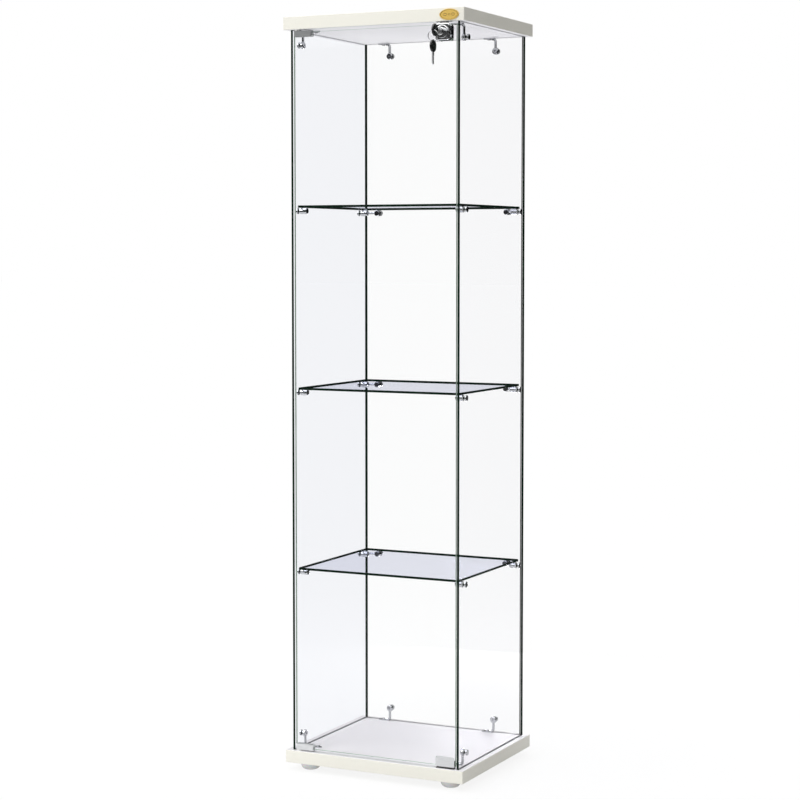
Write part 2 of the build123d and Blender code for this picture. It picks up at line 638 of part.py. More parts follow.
# at each hinge end the plane lies on the end of the glass, with z pointing to the board that holds the pivot
HINGE_ENDS = {
    "lower": (plane_at((PIVOT_X, DOOR_MID, DOOR_LOW), (1, 0, 0), (0, 0, -1)), BASE_TOP),
    "upper": (plane_at((PIVOT_X, DOOR_MID, DOOR_HIGH), (1, 0, 0), (0, 0, 1)), TOP_UNDER),
}
CLAMP_SHIFT = CLAMP_LEFT + CLAMP_LENGTH / 2 - PIVOT_X
CLAMP_HALF = GLASS / 2 + CLAMP_PAD + CLAMP_CHEEK
GRUB_PLACES = [PIVOT_X + step for step in GRUB_STEPS]
for end_name, (end_plane, board_z) in HINGE_ENDS.items():
    up = end_plane.z_dir.Z
    with BuildPart() as clamp:
        with BuildSketch(end_plane.offset(CLAMP_WEB - CLAMP_HEIGHT)):
            with Locations((CLAMP_SHIFT, 0)):
                RectangleRounded(CLAMP_LENGTH, 2 * CLAMP_HALF, CLAMP_CORNER)
        extrude(amount=CLAMP_HEIGHT)
        fillet(clamp.faces().sort_by(Axis(end_plane.origin, end_plane.z_dir))[-1].edges(), CLAMP_ROUND)
        with BuildSketch(end_plane):
            with Locations((CLAMP_SHIFT, 0)):
                Rectangle(2 * CLAMP_LENGTH, GLASS + 2 * CLAMP_PAD)
        extrude(amount=-CLAMP_HEIGHT, mode=Mode.SUBTRACT)
        with BuildSketch(end_plane):
            Circle(PIN_R + PIN_FIT)
        extrude(amount=CLAMP_WEB, mode=Mode.SUBTRACT)
        for grub_x in GRUB_PLACES:
            grub_z = end_plane.origin.Z - up * GRUB_DROP
            with BuildSketch(plane_at((grub_x, DOOR_BACK, grub_z), (1, 0, 0), (0, 1, 0))):
                Circle(GRUB_R + SLIP)
            extrude(amount=CLAMP_HALF, mode=Mode.SUBTRACT)
    finish(clamp, f"{end_name}_hinge_clamp")

    with BuildPart() as bush:
        board_plane = plane_at((PIVOT_X, DOOR_MID, board_z), (1, 0, 0), (0, 0, up))
        with BuildSketch(board_plane):
            Circle(BUSH_R)
        extrude(amount=BUSH_DEPTH)
        with BuildSketch(board_plane):
            Circle(BUSH_FLANGE_R)
        extrude(amount=-BUSH_FLANGE)
        with BuildSketch(board_plane.offset(-BUSH_FLANGE)):
            Circle(PIN_R + SLIP)
        extrude(amount=PIN_LENGTH + PIN_SPARE, mode=Mode.SUBTRACT)
    finish(bush, f"{end_name}_hinge_bush")

with BuildPart() as hinge_pins:
    for end_plane, _ in HINGE_ENDS.values():
        with BuildSketch(end_plane.offset(SLIP)):
            Circle(PIN_R)
        extrude(amount=CLAMP_WEB + PIN_LENGTH)
        tip = hinge_pins.faces().sort_by(Axis(end_plane.origin, end_plane.z_dir))[-1]
        chamfer(tip.edges(), PIN_CHAMFER)
finish(hinge_pins, "hinge_pins")

with BuildPart() as hinge_grub_screws:
    for end_plane, _ in HINGE_ENDS.values():
        for grub_x in GRUB_PLACES:
            grub_z = end_plane.origin.Z - end_plane.z_dir.Z * GRUB_DROP
            start = DOOR_BACK + CLAMP_PAD + SLIP
            with BuildSketch(plane_at((grub_x, start, grub_z), (1, 0, 0), (0, 1, 0))):
                Circle(GRUB_R)
            extrude(amount=GRUB_LENGTH)
            with BuildSketch(plane_at((grub_x, start + GRUB_LENGTH, grub_z), (1, 0, 0), (0, 1, 0))):
                RegularPolygon(GRUB_KEY_R, 6)
            extrude(amount=-GRUB_KEY_DEPTH, mode=Mode.SUBTRACT)
finish(hinge_grub_screws, "hinge_grub_screws")

PAD_SHIFT = (GLASS + CLAMP_PAD) / 2
with BuildPart() as hinge_pads:
    for end_plane, _ in HINGE_ENDS.values():
        with BuildSketch(end_plane):
            with Locations((CLAMP_SHIFT, PAD_SHIFT), (CLAMP_SHIFT, -PAD_SHIFT)):
                Rectangle(CLAMP_LENGTH - 2 * PAD_INSET, CLAMP_PAD)
        extrude(amount=CLAMP_WEB - CLAMP_HEIGHT)
finish(hinge_pads, "hinge_pads")

# ---- magnetic catch ------------------------------------------------------------------------------
CATCH_BOTTOM = DOOR_LOW - CATCH_UNDER - CATCH_SHEET
with BuildPart() as catch_plate:
    with BuildSketch(Plane.YZ.offset(CATCH_X - CATCH_WIDTH / 2)):
        with BuildLine():
            half = GLASS / 2 + CATCH_LINER + CATCH_SHEET
            inner = GLASS / 2 + CATCH_LINER
            Polyline(
                (DOOR_MID - half, CATCH_BOTTOM),
                (DOOR_MID + half, CATCH_BOTTOM),
                (DOOR_MID + half, CATCH_BOTTOM + CATCH_BACK),
                (DOOR_MID + inner, CATCH_BOTTOM + CATCH_BACK),
                (DOOR_MID + inner, CATCH_BOTTOM + CATCH_SHEET),
                (DOOR_MID - inner, CATCH_BOTTOM + CATCH_SHEET),
                (DOOR_MID - inner, CATCH_BOTTOM + CATCH_FRONT),
                (DOOR_MID - half, CATCH_BOTTOM + CATCH_FRONT),
                close=True,
            )
        make_face()
    extrude(amount=CATCH_WIDTH)
    fillet(catch_plate.edges().filter_by(Axis.X).group_by(Axis.Z)[0], CATCH_BEND)
    fillet(catch_plate.edges().filter_by(Axis.Y).group_by(Axis.Z)[-1], CATCH_CORNER)
finish(catch_plate, "catch_plate")

with BuildPart() as catch_liner:
    with BuildSketch(Plane.YZ.offset(CATCH_X - CATCH_WIDTH / 2 + LINER_INSET)):
        with Locations((DOOR_MID, DOOR_LOW - CATCH_UNDER + LINER_HEIGHT / 2)):
            Rectangle(GLASS + 2 * CATCH_LINER, LINER_HEIGHT)
        with Locations((DOOR_MID, DOOR_LOW + LINER_HEIGHT / 2)):
            Rectangle(GLASS, LINER_HEIGHT, mode=Mode.SUBTRACT)
    extrude(amount=CATCH_WIDTH - 2 * LINER_INSET)
finish(catch_liner, "catch_liner")

with BuildPart() as catch_magnet:
    with BuildSketch(Plane.XY.offset(BASE_TOP - MAGNET_SINK)):
        with Locations((CATCH_X, DOOR_MID)):
            Rectangle(MAGNET_WIDTH, MAGNET_DEPTH)
    extrude(amount=MAGNET_SINK + MAGNET_RISE)
    fillet(catch_magnet.faces().sort_by(Axis.Z)[-1].edges(), MAGNET_ROUND)
finish(catch_magnet, "catch_magnet")

# ---- lock ----------------------------------------------------------------------------------------
HOUSING_BACK = DOOR_FRONT - LOCK_GASKET
HOUSING_FRONT = HOUSING_BACK - LOCK_DEPTH
COLLAR_FRONT = HOUSING_FRONT - COLLAR_DEPTH
SLEEVE_FRONT = COLLAR_FRONT - SLEEVE_DEPTH
PLUG_FRONT = SLEEVE_FRONT - PLUG_PROUD
PLUG_BACK = BOLT_FRONT - PLUG_GAP
LOCK_SCREW_SPOTS = [(s * LOCK_SCREW_X, -LOCK_SCREW_DROP) for s in (-1, 1)]


def lock_plane(y):
    """A plane across the lock at depth y, facing the viewer, with its origin on the lock's axis."""
    return plane_at((LOCK_X, y, LOCK_Z), (1, 0, 0), (0, -1, 0))


with BuildPart() as lock_housing:
    with BuildSketch(lock_plane(HOUSING_BACK)):
        RectangleRounded(LOCK_WIDTH, LOCK_HEIGHT, LOCK_CORNER)
    extrude(amount=LOCK_DEPTH)
    fillet(lock_housing.faces().sort_by(Axis.Y)[0].edges(), LOCK_ROUND)
    with BuildSketch(lock_plane(HOUSING_FRONT)):
        Circle(COLLAR_R)
    extrude(amount=COLLAR_DEPTH)
    fillet(lock_housing.faces().sort_by(Axis.Y)[0].edges(), COLLAR_ROUND)
    with BuildSketch(lock_plane(COLLAR_FRONT)):
        Circle(SLEEVE_R)
    extrude(amount=SLEEVE_DEPTH)
    chamfer(lock_housing.faces().sort_by(Axis.Y)[0].edges(), SLEEVE_CHAMFER)
    with BuildSketch(lock_plane(HOUSING_BACK)):
        Circle(PLUG_R + SLIP)
    extrude(amount=HOUSING_BACK - SLEEVE_FRONT, mode=Mode.SUBTRACT)
    cavity_low = -BOLT_BELOW - CAM_PLAY
    with BuildSketch(lock_plane(HOUSING_BACK)):
        with Locations((0, (cavity_low + LOCK_HEIGHT) / 2)):
            Rectangle(BOLT_WIDTH + 2 * BOLT_SLIDE, LOCK_HEIGHT - cavity_low)
    extrude(amount=BOLT_THICK + 2 * BOLT_SLIDE, mode=Mode.SUBTRACT)
    with BuildSketch(lock_plane(HOUSING_BACK)):
        with Locations(*LOCK_SCREW_SPOTS):
            Circle(LOCK_SCREW_R + SLIP)
    extrude(amount=LOCK_TAP_DEPTH, mode=Mode.SUBTRACT)
finish(lock_housing, "lock_housing")

with BuildPart() as lock_gasket:
    with BuildSketch(lock_plane(DOOR_FRONT)):
        RectangleRounded(LOCK_WIDTH - 2 * LOOSE, LOCK_HEIGHT - 2 * LOOSE, LOCK_CORNER)
        with Locations(*LOCK_SCREW_SPOTS):
            Circle(LOCK_SCREW_R + LOOSE, mode=Mode.SUBTRACT)
    extrude(amount=LOCK_GASKET)
finish(lock_gasket, "lock_gasket")

with BuildPart() as lock_back_plate:
    with BuildSketch(lock_plane(DOOR_BACK + LOCK_BACK_PLATE)):
        RectangleRounded(LOCK_WIDTH, LOCK_HEIGHT, LOCK_CORNER)
    extrude(amount=LOCK_BACK_PLATE)
    fillet(lock_back_plate.faces().sort_by(Axis.Y)[-1].edges(), SLEEVE_CHAMFER)
    with BuildSketch(lock_plane(DOOR_BACK + LOCK_BACK_PLATE)):
        with Locations(*LOCK_SCREW_SPOTS):
            Circle(LOCK_SCREW_R + LOOSE)
    extrude(amount=LOCK_BACK_PLATE, mode=Mode.SUBTRACT)
finish(lock_back_plate, "lock_back_plate")

LOCK_SCREW_LENGTH = LOCK_BACK_PLATE + GLASS + LOCK_GASKET + LOCK_SCREW_GRIP
lock_screw = pan_screw(LOCK_SCREW_R, LOCK_SCREW_HEAD_R, LOCK_SCREW_HEAD, LOCK_SCREW_LENGTH)
with BuildPart() as lock_screws:
    with Locations(*[
        plane_at((px, DOOR_BACK + LOCK_BACK_PLATE, pz), (1, 0, 0), (0, 1, 0))
        for px, pz in LOCK_SCREW_POINTS
    ]):
        add(lock_screw)
finish(lock_screws, "lock_screws")

CAM_OFFSET = CAM_RADIUS * sin(radians(CAM_ANGLE))

with BuildPart() as lock_plug:
    with BuildSketch(lock_plane(PLUG_BACK)):
        Circle(PLUG_R)
    extrude(amount=PLUG_BACK - PLUG_FRONT)
    chamfer(lock_plug.faces().sort_by(Axis.Y)[0].edges(), PLUG_CHAMFER)
    with BuildSketch(lock_plane(PLUG_FRONT)):
        Rectangle(KEYWAY_WIDTH, KEYWAY_HEIGHT)
    extrude(amount=-KEYWAY_DEPTH, mode=Mode.SUBTRACT)
    with BuildSketch(lock_plane(PLUG_BACK)):
        with Locations((-CAM_OFFSET, -CAM_OFFSET)):
            Circle(CAM_PIN_R)
    extrude(amount=-BOLT_THICK)
finish(lock_plug, "lock_plug")

BOLT_LOW = LOCK_Z - BOLT_BELOW
BOLT_TIP = TOP_UNDER - BOLT_TIP_GAP
with BuildPart() as lock_bolt:
    with BuildSketch(lock_plane(BOLT_BACK)):
        with Locations((0, (BOLT_LOW + BOLT_TIP) / 2 - LOCK_Z)):
            Rectangle(BOLT_WIDTH, BOLT_TIP - BOLT_LOW)
    extrude(amount=BOLT_THICK)
    chamfer(lock_bolt.faces().sort_by(Axis.Z)[-1].edges().filter_by(Axis.Y), BOLT_CHAMFER)
    slot_inner = CAM_OFFSET - CAM_PIN_R - CAM_SIDE_PLAY
    slot_outer = CAM_RADIUS + CAM_PIN_R + CAM_SIDE_PLAY
    with BuildSketch(lock_plane(BOLT_BACK)):
        with Locations((-(slot_inner + slot_outer) / 2, -CAM_OFFSET)):
            Rectangle(slot_outer - slot_inner, 2 * CAM_PIN_R + 2 * CAM_PLAY)
    extrude(amount=BOLT_THICK, mode=Mode.SUBTRACT)
finish(lock_bolt, "lock_bolt")

with BuildPart() as lock_strike:
    with BuildSketch(Plane.XY.offset(TOP_UNDER)):
        with Locations((LOCK_X, BOLT_MID)):
            RectangleRounded(STRIKE_WIDTH, STRIKE_DEPTH, STRIKE_CORNER)
            Rectangle(BOLT_WIDTH + 2 * STRIKE_CLEAR, BOLT_THICK + 2 * STRIKE_CLEAR, mode=Mode.SUBTRACT)
        with Locations(*STRIKE_SCREW_SPOTS):
            Circle(BOARD_SCREW_R, mode=Mode.SUBTRACT)
    extrude(amount=STRIKE_SHEET)
finish(lock_strike, "lock_strike")

strike_screw = pan_screw(STRIKE_SCREW_R, STRIKE_SCREW_HEAD_R, STRIKE_SCREW_HEAD, STRIKE_SCREW_LENGTH)
with BuildPart() as strike_screws:
    with Locations(*[
        plane_at((sx, sy, TOP_UNDER), (1, 0, 0), (0, 0, -1)) for sx, sy in STRIKE_SCREW_SPOTS
    ]):
        add(strike_screw)
finish(strike_screws, "strike_screws")

# ---- keys ----------------------------------------------------------------------------------------
# a key lies with its shoulder at the origin, its blade along +X and its faces square to Z
with BuildPart() as blade_shape:
    low, high = -BLADE_WIDTH / 2, BLADE_WIDTH / 2
    outline = [
        (-TANG, low),
        (BLADE_LENGTH - TIP_LENGTH, low),
        (BLADE_LENGTH, low + TIP_RISE),
        (BLADE_LENGTH - 2 * TIP_SHOULDER, high - TIP_SHOULDER),
    ]
    for number, cut in enumerate(CUTS):
        at = BLADE_LENGTH - CUT_PITCH * (number + 1)
        outline += [(at, high - cut), (at - CUT_FLAT, high - cut), (at - CUT_PITCH / 2, high)]
    outline.append((-TANG, high))
    with BuildSketch(Plane.XY.offset(-BLADE_THICK / 2)):
        with BuildLine():
            Polyline(*outline, close=True)
        make_face()
    extrude(amount=BLADE_THICK)
    with BuildSketch(Plane.XY.offset(BLADE_THICK / 2)):
        with Locations((BLADE_LENGTH / 2, BLADE_GROOVE_SHIFT)):
            Rectangle(BLADE_LENGTH - BLADE_GROOVE, BLADE_GROOVE)
    extrude(amount=-BLADE_GROOVE_DEPTH, mode=Mode.SUBTRACT)

with BuildPart() as bow_shape:
    with BuildSketch(Plane.XY.offset(-BOW_THICK / 2)):
        with Locations((-BOW_R, 0)):
            Circle(BOW_R)
    extrude(amount=BOW_THICK)
    fillet(bow_shape.edges().filter_by(GeomType.CIRCLE), BOW_ROUND)
    with BuildSketch(Plane.XY.offset(-BOW_THICK / 2)):
        with Locations((-BOW_R - BOW_HOLE_OFFSET, 0)):
            Circle(BOW_HOLE_R)
    extrude(amount=BOW_THICK, mode=Mode.SUBTRACT)
    with BuildSketch(Plane.XY.offset(-BLADE_THICK / 2 - SLIP)):
        with Locations((-TANG / 2, 0)):
            Rectangle(TANG + 2 * SLIP, BLADE_WIDTH + 2 * SLIP)
    extrude(amount=BLADE_THICK + 2 * SLIP, mode=Mode.SUBTRACT)

KEY_SHOULDER_Y = SLEEVE_FRONT - BLADE_SHOWS
HOLE_Y = KEY_SHOULDER_Y - BOW_R - BOW_HOLE_OFFSET
RING_TOP_Z = LOCK_Z - BOW_HOLE_R + WIRE_R + RING_PLAY
RING_BOTTOM_Z = RING_TOP_Z - 2 * RING_R
SPARE_HOLE_Z = RING_BOTTOM_Z - (BOW_HOLE_R - WIRE_R - RING_PLAY)
MAIN_KEY = plane_at((LOCK_X, KEY_SHOULDER_Y, LOCK_Z), (0, 1, 0), (1, 0, 0))
SPARE_KEY = plane_at((LOCK_X, HOLE_Y, SPARE_HOLE_Z - BOW_HOLE_OFFSET - BOW_R), (0, 0, -1), (1, 0, 0))

for key_name, place in (("key", MAIN_KEY), ("spare_key", SPARE_KEY)):
    with BuildPart() as blade:
        with Locations(place):
            add(blade_shape.part)
    finish(blade, f"{key_name}_blade")
    with BuildPart() as bow:
        with Locations(place):
            add(bow_shape.part)
    finish(bow, f"{key_name}_bow")

with BuildPart() as key_ring:
    with BuildSketch(plane_at((LOCK_X, HOLE_Y, RING_TOP_Z), (0, 1, 0), (1, 0, 0))):
        Circle(WIRE_R)
    revolve(axis=Axis((LOCK_X, HOLE_Y, RING_TOP_Z - RING_R), (0, 1, 0)))
finish(key_ring, "key_ring")

# ---- badge ---------------------------------------------------------------------------------------
with BuildPart() as badge:
    front = plane_at((BADGE_X, -CASE_DEPTH / 2, BADGE_Z), (1, 0, 0), (0, -1, 0))
    with BuildSketch(front):
        Ellipse(BADGE_HALF_WIDTH, BADGE_HALF_HEIGHT)
    extrude(amount=BADGE_BASE)
    with BuildSketch(front.offset(BADGE_BASE)):
        Ellipse(BADGE_HALF_WIDTH - BADGE_STEP, BADGE_HALF_HEIGHT - BADGE_STEP)
        Ellipse(BADGE_HALF_WIDTH - BADGE_RIM, BADGE_HALF_HEIGHT - BADGE_RIM, mode=Mode.SUBTRACT)
    extrude(amount=BADGE_RIM_HEIGHT)
finish(badge, "badge")
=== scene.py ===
"""Tower display case: looks, badge relief, floor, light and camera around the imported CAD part. Metres."""

import math

import bmesh
import bpy
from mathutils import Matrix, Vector
from mathutils.bvhtree import BVHTree


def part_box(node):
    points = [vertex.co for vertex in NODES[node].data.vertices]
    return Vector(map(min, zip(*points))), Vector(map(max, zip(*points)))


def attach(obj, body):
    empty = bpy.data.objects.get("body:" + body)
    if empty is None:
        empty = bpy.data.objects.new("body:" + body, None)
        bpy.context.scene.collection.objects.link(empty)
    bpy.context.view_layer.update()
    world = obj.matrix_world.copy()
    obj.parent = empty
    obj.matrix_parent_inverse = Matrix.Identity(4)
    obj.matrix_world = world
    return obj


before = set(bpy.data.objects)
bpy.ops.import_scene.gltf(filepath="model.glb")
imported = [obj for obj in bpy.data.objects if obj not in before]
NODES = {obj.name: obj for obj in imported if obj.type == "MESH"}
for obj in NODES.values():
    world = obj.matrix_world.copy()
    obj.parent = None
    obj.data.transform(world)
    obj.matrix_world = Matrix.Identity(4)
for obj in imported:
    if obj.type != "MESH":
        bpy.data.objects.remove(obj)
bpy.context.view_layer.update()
WHITE = (1.0, 1.0, 1.0)

# ---- colours (linear) and finishes ---------------------------------------------------------------
FOIL = (0.87, 0.855, 0.775)
FOIL_SPECK = (0.855, 0.84, 0.76)
# copies of the cream foil for the faces inside the case: the deck darker and cooler as painted shade, the
# ceiling brighter and cooler as painted light
SHADED_DECK_FOIL = (0.79, 0.775, 0.79)
SHADED_DECK_SPECK = (0.775, 0.76, 0.775)
LIT_CEILING_FOIL = (0.95, 0.94, 0.955)
LIT_CEILING_SPECK = (0.94, 0.93, 0.95)
CHROME = (0.80, 0.81, 0.82)
# a darker copy of the chrome for the fittings: painted shade
SHADED_FITTING_CHROME = (0.60, 0.61, 0.63)
# a darker copy of the satin zinc for the upper hinge clamp: painted shade
SATIN = (0.33, 0.335, 0.34)
SATIN_LIGHT = (0.78, 0.79, 0.80)
STEEL = (0.62, 0.62, 0.61)
BLACK = (0.012, 0.012, 0.013)
RUBBER = (0.015, 0.015, 0.015)
FERRITE = (0.02, 0.02, 0.021)
VINYL = (0.74, 0.76, 0.76)
NYLON = (0.80, 0.80, 0.78)
FOOT_GREY = (0.86, 0.865, 0.87)
GILT = (0.92, 0.63, 0.15)
# a darker gilt for the badge's raised lines: painted shade
GILT_PAINTED_SHADE = (0.36, 0.21, 0.05)
MIRROR_TINT = (0.95, 0.97, 1.0)
MIRROR_RISE = 4.0  # how sharply the mirror grows towards a grazing view
LEAST_MIRROR = 0.006
SIDE_GLOSS = 0.12
FRONT_GLOSS = 0.15
SHELF_GLOSS = 0.1
EDGE_SHINE = 0.06
# the left pane's tint is darker and bluer than the right pane's of the same glass: a faint tint with painted
# shade
LEFT_TINT_AND_SHADE = (0.968, 0.972, 0.986)
RIGHT_TINT = (0.993, 0.993, 0.998)
FRONT_TINT = (0.997, 0.998, 0.998)
# the shelves' tint is darker and bluer than the door glass: a faint tint with painted shade
SHELF_TINT_AND_SHADE = (0.927, 0.933, 0.978)
# the nearly black green of the pane edges other than the door's: painted shade on the green glass
EDGE_LIGHT = (0.006, 0.022, 0.012)
EDGE_DARK = (0.001, 0.006, 0.003)
PALE_EDGE_LIGHT = (0.46, 0.56, 0.47)
PALE_EDGE_DARK = (0.24, 0.35, 0.26)
FINE_BUMP = 0.00005
COARSE_BUMP = 0.0001
MID_NOISE = (0.3, 0.7)  # the part of a noise that most of its area lies in


# ---- node helpers --------------------------------------------------------------------------------
def material(name):
    """A new node material with one Principled shader: (material, nodes, links, shader)."""
    mat = bpy.data.materials.new(name)
    mat.use_nodes = True
    nodes, links = mat.node_tree.nodes, mat.node_tree.links
    return mat, nodes, links, nodes["Principled BSDF"]


def noise(nodes, links, scale, detail=4.0, stretch=(1, 1, 1)):
    """Object-space noise: returns its Fac output."""
    coord = nodes.new("ShaderNodeTexCoord")
    mapping = nodes.new("ShaderNodeMapping")
    mapping.inputs["Scale"].default_value = stretch
    tex = nodes.new("ShaderNodeTexNoise")
    tex.inputs["Scale"].default_value = scale
    tex.inputs["Detail"].default_value = detail
    tex.inputs["Roughness"].default_value = 0.55
    links.new(coord.outputs["Object"], mapping.inputs["Vector"])
    links.new(mapping.outputs["Vector"], tex.inputs["Vector"])
    return tex.outputs["Fac"]


def ramp(nodes, links, fac, stops):
    """A colour ramp fed by fac; stops are (position, colour)."""
    stops = tuple(stops)
    node = nodes.new("ShaderNodeValToRGB")
    band = node.color_ramp
    while len(band.elements) < len(stops):
        band.elements.new(0.5)
    for element, (place, colour) in zip(band.elements, stops):
        element.position = place
        element.color = (*colour, 1.0)
    links.new(fac, node.inputs["Fac"])
    return node.outputs["Color"]


def span(nodes, links, fac, low, high, start=0.0, end=1.0):
    """fac mapped from start..end to low..high."""
    node = nodes.new("ShaderNodeMapRange")
    node.inputs["From Min"].default_value = start
    node.inputs["From Max"].default_value = end
    node.inputs["To Min"].default_value = low
    node.inputs["To Max"].default_value = high
    links.new(fac, node.inputs["Value"])
    return node.outputs["Result"]


def calc(nodes, links, operation, a, b):
    """A math node; a and b are numbers or sockets."""
    node = nodes.new("ShaderNodeMath")
    node.operation = operation
    for socket, value in zip(node.inputs, (a, b)):
        if isinstance(value, float):
            socket.default_value = value
        else:
            links.new(value, socket)
    return node.outputs[0]


def from_middle(nodes, links):
    """The distance from the middle of the object, in its own space."""
    coord = nodes.new("ShaderNodeTexCoord")
    away = nodes.new("ShaderNodeVectorMath")
    away.operation = "LENGTH"
    links.new(coord.outputs["Object"], away.inputs[0])
    return away.outputs["Value"]


def bump(nodes, links, shader, height, strength, distance):
    """Raise the shader's surface by height."""
    node = nodes.new("ShaderNodeBump")
    node.inputs["Strength"].default_value = strength
    node.inputs["Distance"].default_value = distance
    links.new(height, node.inputs["Height"])
    links.new(node.outputs["Normal"], shader.inputs["Normal"])


def metal(name, colour, rough, scale, stretch, strength, grain):
    """A plated or brushed metal: fine polishing marks, faint colour variation and uneven gloss."""
    mat, nodes, links, shader = material(name)
    shader.inputs["Metallic"].default_value = 1.0
    marks = noise(nodes, links, scale, detail=6.0, stretch=stretch)
    dark = tuple(c * grain for c in colour)
    links.new(ramp(nodes, links, marks, zip(MID_NOISE, (dark, colour))), shader.inputs["Base Color"])
    wear = noise(nodes, links, scale / 6)
    links.new(span(nodes, links, wear, *rough, *MID_NOISE), shader.inputs["Roughness"])
    bump(nodes, links, shader, marks, strength=strength, distance=FINE_BUMP)
    return mat


def plastic(name, colour, rough, scale, strength, grain, coat=0.0):
    """Moulded plastic or rubber: fine texture, colour variation and uneven gloss."""
    mat, nodes, links, shader = material(name)
    pores = noise(nodes, links, scale, detail=5.0)
    dark = tuple(c * grain for c in colour)
    links.new(ramp(nodes, links, pores, ((0.35, dark), (0.65, colour))), shader.inputs["Base Color"])
    patches = noise(nodes, links, scale / 12)
    links.new(span(nodes, links, patches, rough * 0.8, rough * 1.2, *MID_NOISE), shader.inputs["Roughness"])
    shader.inputs["Coat Weight"].default_value = coat
    bump(nodes, links, shader, pores, strength=strength, distance=COARSE_BUMP)
    return mat


# ---- materials -----------------------------------------------------------------------------------
def foil_material(name, plain, speck):
    """White melamine foil: a fine orange-peel emboss with faint specks."""
    mat, nodes, links, shader = material(name)
    peel = noise(nodes, links, scale=900.0, detail=3.0)
    specks = noise(nodes, links, scale=420.0, detail=6.0)
    links.new(ramp(nodes, links, specks, ((0.3, speck), (0.55, plain))), shader.inputs["Base Color"])
    clouds = noise(nodes, links, scale=7.0)
    links.new(span(nodes, links, clouds, 0.36, 0.5, *MID_NOISE), shader.inputs["Roughness"])
    bump(nodes, links, shader, peel, strength=0.12, distance=COARSE_BUMP)
    return mat


def glass_face_material(name, tint, gloss):
    """The broad faces of a pane: clear with a faint tint, and a mirror that grows at grazing angles."""
    mat = bpy.data.materials.new(name)
    mat.use_nodes = True
    nodes, links = mat.node_tree.nodes, mat.node_tree.links
    nodes.remove(nodes["Principled BSDF"])
    out = nodes["Material Output"]
    clear = nodes.new("ShaderNodeBsdfTransparent")
    clear.inputs["Color"].default_value = (*tint, 1.0)
    mirror = nodes.new("ShaderNodeBsdfGlossy")
    mirror.inputs["Color"].default_value = (*MIRROR_TINT, 1.0)
    smears = noise(nodes, links, scale=3.5, detail=3.0)
    links.new(span(nodes, links, smears, 0.01, 0.04, *MID_NOISE), mirror.inputs["Roughness"])
    weight = nodes.new("ShaderNodeLayerWeight")
    steep = calc(nodes, links, "POWER", weight.outputs["Facing"], MIRROR_RISE)
    share = calc(nodes, links, "ADD", calc(nodes, links, "MULTIPLY", steep, gloss), LEAST_MIRROR)
    mix = nodes.new("ShaderNodeMixShader")
    links.new(share, mix.inputs[0])
    links.new(clear.outputs[0], mix.inputs[1])
    links.new(mirror.outputs[0], mix.inputs[2])
    links.new(mix.outputs[0], out.inputs["Surface"])
    return mat


def glass_edge_material(name, light, dark):
    """The ground edge of a pane: green glass with polishing marks."""
    mat, nodes, links, shader = material(name)
    marks = noise(nodes, links, scale=260.0, stretch=(1, 1, 0.05))
    links.new(ramp(nodes, links, marks, zip(MID_NOISE, (dark, light))), shader.inputs["Base Color"])
    links.new(span(nodes, links, marks, 0.25, 0.4, *MID_NOISE), shader.inputs["Roughness"])
    shader.inputs["Specular IOR Level"].default_value = EDGE_SHINE
    bump(nodes, links, shader, marks, strength=0.1, distance=FINE_BUMP)
    return mat


def gilt_material(name, gilt):
    """Gilt metal: satin, with fine brushed marks."""
    mat, nodes, links, shader = material(name)
    shader.inputs["Metallic"].default_value = 0.45
    brushed = noise(nodes, links, scale=500.0, stretch=(1, 1, 6))
    dark = tuple(c * 0.8 for c in gilt)
    links.new(ramp(nodes, links, brushed, ((0.25, dark), (0.75, gilt))), shader.inputs["Base Color"])
    links.new(span(nodes, links, brushed, 0.24, 0.38, *MID_NOISE), shader.inputs["Roughness"])
    bump(nodes, links, shader, brushed, strength=0.15, distance=FINE_BUMP)
    return mat


def foot_material():
    """Translucent grey moulded plastic."""
    mat, nodes, links, shader = material("foot_plastic")
    grain = noise(nodes, links, scale=300.0)
    dark = tuple(c * 0.93 for c in FOOT_GREY)
    links.new(ramp(nodes, links, grain, zip(MID_NOISE, (dark, FOOT_GREY))), shader.inputs["Base Color"])
    links.new(span(nodes, links, grain, 0.16, 0.28, *MID_NOISE), shader.inputs["Roughness"])
    shader.inputs["Subsurface Weight"].default_value = 0.35
    shader.inputs["Subsurface Scale"].default_value = 0.01
    shader.inputs["Coat Weight"].default_value = 0.4
    bump(nodes, links, shader, grain, strength=0.1, distance=COARSE_BUMP)
    return mat


